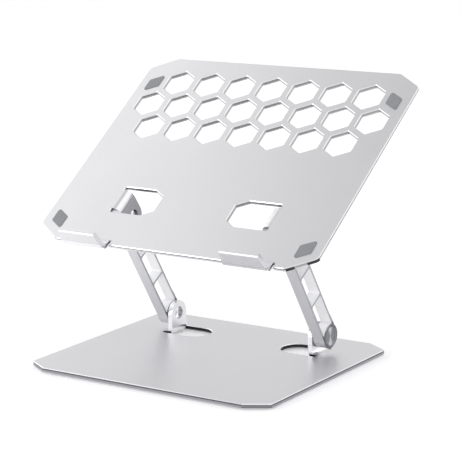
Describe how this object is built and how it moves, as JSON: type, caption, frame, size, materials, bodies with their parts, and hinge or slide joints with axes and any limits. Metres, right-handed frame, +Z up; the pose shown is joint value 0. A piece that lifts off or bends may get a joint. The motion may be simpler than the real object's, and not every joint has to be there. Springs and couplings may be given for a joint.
{
  "type": "laptop stand",
  "caption": "Folding sheet-metal laptop stand: flat base, parallel friction-hinged arms and a tilting, vented platform with front hooks and rubber pads.",
  "frame": {"origin": "on the desk, under the middle of the stand's box in the posed position", "axes": "+X to the user's right along the hinge axes, +Y to the rear, +Z up"},
  "size_m": [0.2656, 0.2204, 0.2257],
  "materials": {
    "anodised_aluminium": "sandblasted, clear anodised",
    "arm_aluminium": "sandblasted, clear anodised",
    "foot_rubber": "matt",
    "pad_rubber": "matt",
    "liner_silicone": "matt",
    "pin_steel": "turned, bright nickel",
    "friction_polymer": "natural acetal, smooth",
    "spring_steel": "phosphated",
    "washer_steel": "zinc plated",
    "nut_steel": "zinc plated",
    "cap_metal": "turned, grey anodised"
  },
  "bodies": {
    "base": {"base_plate": "anodised_aluminium", "foot_front_left": "foot_rubber", "foot_front_right": "foot_rubber", "foot_rear_left": "foot_rubber", "foot_rear_right": "foot_rubber", "lower_pin_left": "pin_steel", "lower_friction_washer_left": "friction_polymer", "lower_disc_springs_left": "spring_steel", "lower_flat_washer_left": "washer_steel", "lower_lock_nut_left": "nut_steel", "lower_pin_right": "pin_steel", "lower_friction_washer_right": "friction_polymer", "lower_disc_springs_right": "spring_steel", "lower_flat_washer_right": "washer_steel", "lower_lock_nut_right": "nut_steel"},
    "arm_left": {"arm_left": "arm_aluminium", "lower_cap_left": "cap_metal", "upper_cap_left": "cap_metal"},
    "arm_right": {"arm_right": "arm_aluminium", "lower_cap_right": "cap_metal", "upper_cap_right": "cap_metal"},
    "tilt_washers": {"upper_friction_washer_left": "friction_polymer", "upper_disc_springs_left": "spring_steel", "upper_friction_washer_right": "friction_polymer", "upper_disc_springs_right": "spring_steel"},
    "platform": {"top_plate": "anodised_aluminium", "pad_front_left": "pad_rubber", "pad_front_right": "pad_rubber", "pad_rear_left": "pad_rubber", "pad_rear_right": "pad_rubber", "hook_liner_left": "liner_silicone", "hook_liner_right": "liner_silicone", "upper_pin_left": "pin_steel", "upper_flat_washer_left": "washer_steel", "upper_lock_nut_left": "nut_steel", "upper_pin_right": "pin_steel", "upper_flat_washer_right": "washer_steel", "upper_lock_nut_right": "nut_steel"}
  },
  "joints": [
    {"name": "arm_fold", "type": "hinge", "parent": "base", "child": "arm_left", "pos_m": [-0.07245, 0.03949, 0.0194], "axis": [1, 0, 0], "range_deg": [-30, 58.2]},
    {"name": "arm_fold_right", "type": "hinge", "parent": "base", "child": "arm_right", "pos_m": [0.07245, 0.03949, 0.0194], "axis": [1, 0, 0], "range_deg": [-30, 58.2]},
    {"name": "tilt_carry", "type": "hinge", "parent": "arm_left", "child": "tilt_washers", "pos_m": [-0.07245, -0.01943, 0.11442], "axis": [1, 0, 0], "range_deg": [-78.05, 40.24]},
    {"name": "platform_tilt", "type": "hinge", "parent": "tilt_washers", "child": "platform", "pos_m": [-0.07245, -0.01943, 0.11442], "axis": [1, 0, 0], "range_deg": [-15, 16]}
  ],
  "couplings": [
    {"joint": "arm_fold_right", "follows": "arm_fold", "ratio": 1},
    {"joint": "tilt_carry", "follows": "arm_fold", "ratio": -1.3409}
  ]
}
